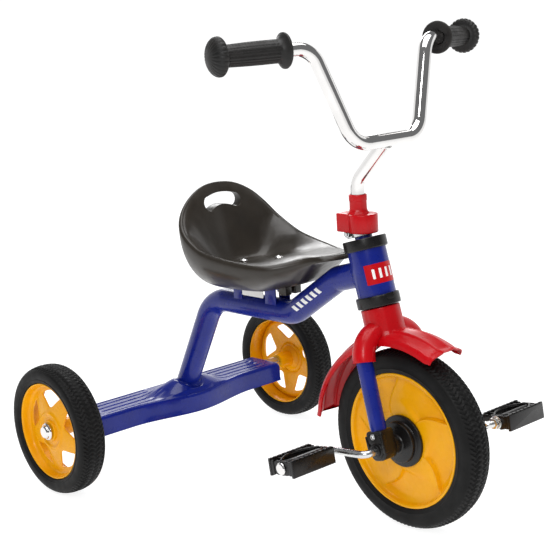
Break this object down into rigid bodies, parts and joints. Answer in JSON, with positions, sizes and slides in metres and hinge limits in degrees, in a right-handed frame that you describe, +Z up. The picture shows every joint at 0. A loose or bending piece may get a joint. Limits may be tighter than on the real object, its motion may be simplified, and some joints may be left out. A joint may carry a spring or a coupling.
{
  "type": "children's tricycle",
  "caption": "Children's pedal tricycle: bent-tube frame with pressed rear step and bucket saddle, steering fork with fender and high handlebar, pedals on the front wheel.",
  "frame": {"origin": "on the floor, below the middle of the overall length", "axes": "+X forward, +Y to the rider's left, +Z up"},
  "size_m": [0.731, 0.53, 0.6749],
  "materials": {
    "frame_blue": "high gloss",
    "fender_red": "gloss",
    "wheel_yellow": "gloss",
    "seat_black": "gloss",
    "hardware_black": "satin",
    "tyre_rubber": "matt, fine tread",
    "grip_rubber": "matt, moulded ribs",
    "chrome": "polished",
    "zinc": "bright zinc plate"
  },
  "bodies": {
    "frame": {"main_tube": "frame_blue", "rear_step": "frame_blue", "seat_bracket": "frame_blue", "seat": "seat_black", "seat_bolt_rear": "chrome", "seat_bolt_front": "chrome", "seat_nut_rear": "zinc", "seat_nut_front": "zinc", "head_tube": "frame_blue", "head_bush_upper": "hardware_black", "head_bush_lower": "hardware_black", "rear_axle": "zinc", "step_end_plate_left": "frame_blue", "step_end_plate_right": "frame_blue", "axle_spacer_left": "zinc", "axle_spacer_right": "zinc", "axle_washer_left": "zinc", "axle_washer_right": "zinc", "axle_cap_left": "chrome", "axle_cap_right": "chrome"},
    "steering": {"steerer_tube": "frame_blue", "clamp_collar": "zinc", "clamp_bolt": "zinc", "clamp_nut": "zinc", "fork_blade_left": "frame_blue", "fork_blade_right": "frame_blue", "crank_bearing_left": "hardware_black", "crank_bearing_right": "hardware_black", "bearing_bolt_left": "zinc", "bearing_bolt_right": "zinc", "bearing_nut_left": "zinc", "bearing_nut_right": "zinc", "stem_cover": "fender_red", "handlebar_stem": "chrome", "handlebar": "chrome", "grip_left": "grip_rubber", "grip_right": "grip_rubber", "fender": "fender_red"},
    "front_wheel": {"front_tyre": "tyre_rubber", "front_rim": "wheel_yellow", "crank_rod": "zinc", "hub_flange_left": "hardware_black", "hub_flange_right": "hardware_black", "pedal_collar_left": "zinc", "pedal_collar_right": "zinc", "pedal_cap_left": "chrome", "pedal_cap_right": "chrome"},
    "pedal_left_body": {"pedal_left": "hardware_black"},
    "pedal_right_body": {"pedal_right": "hardware_black"},
    "rear_wheel_left": {"rear_tyre_left": "tyre_rubber", "rear_rim_left": "wheel_yellow"},
    "rear_wheel_right": {"rear_tyre_right": "tyre_rubber", "rear_rim_right": "wheel_yellow"}
  },
  "joints": [
    {"name": "steering", "type": "hinge", "parent": "frame", "child": "steering", "pos_m": [0.2405, 0, 0.125], "axis": [-0.2504, 0, 0.9681], "range_deg": [-45, 45]},
    {"name": "front_wheel_spin", "type": "hinge", "parent": "steering", "child": "front_wheel", "pos_m": [0.2405, 0, 0.125], "axis": [0, 1, 0], "continuous": true},
    {"name": "pedal_left_spin", "type": "hinge", "parent": "front_wheel", "child": "pedal_left_body", "pos_m": [0.30376, 0.14375, 0.13053], "axis": [0, 1, 0], "continuous": true},
    {"name": "pedal_right_spin", "type": "hinge", "parent": "front_wheel", "child": "pedal_right_body", "pos_m": [0.17724, -0.14375, 0.11947], "axis": [0, 1, 0], "continuous": true},
    {"name": "rear_wheel_left_spin", "type": "hinge", "parent": "frame", "child": "rear_wheel_left", "pos_m": [-0.2655, 0.238, 0.1], "axis": [0, 1, 0], "continuous": true},
    {"name": "rear_wheel_right_spin", "type": "hinge", "parent": "frame", "child": "rear_wheel_right", "pos_m": [-0.2655, -0.238, 0.1], "axis": [0, 1, 0], "continuous": true}
  ]
}
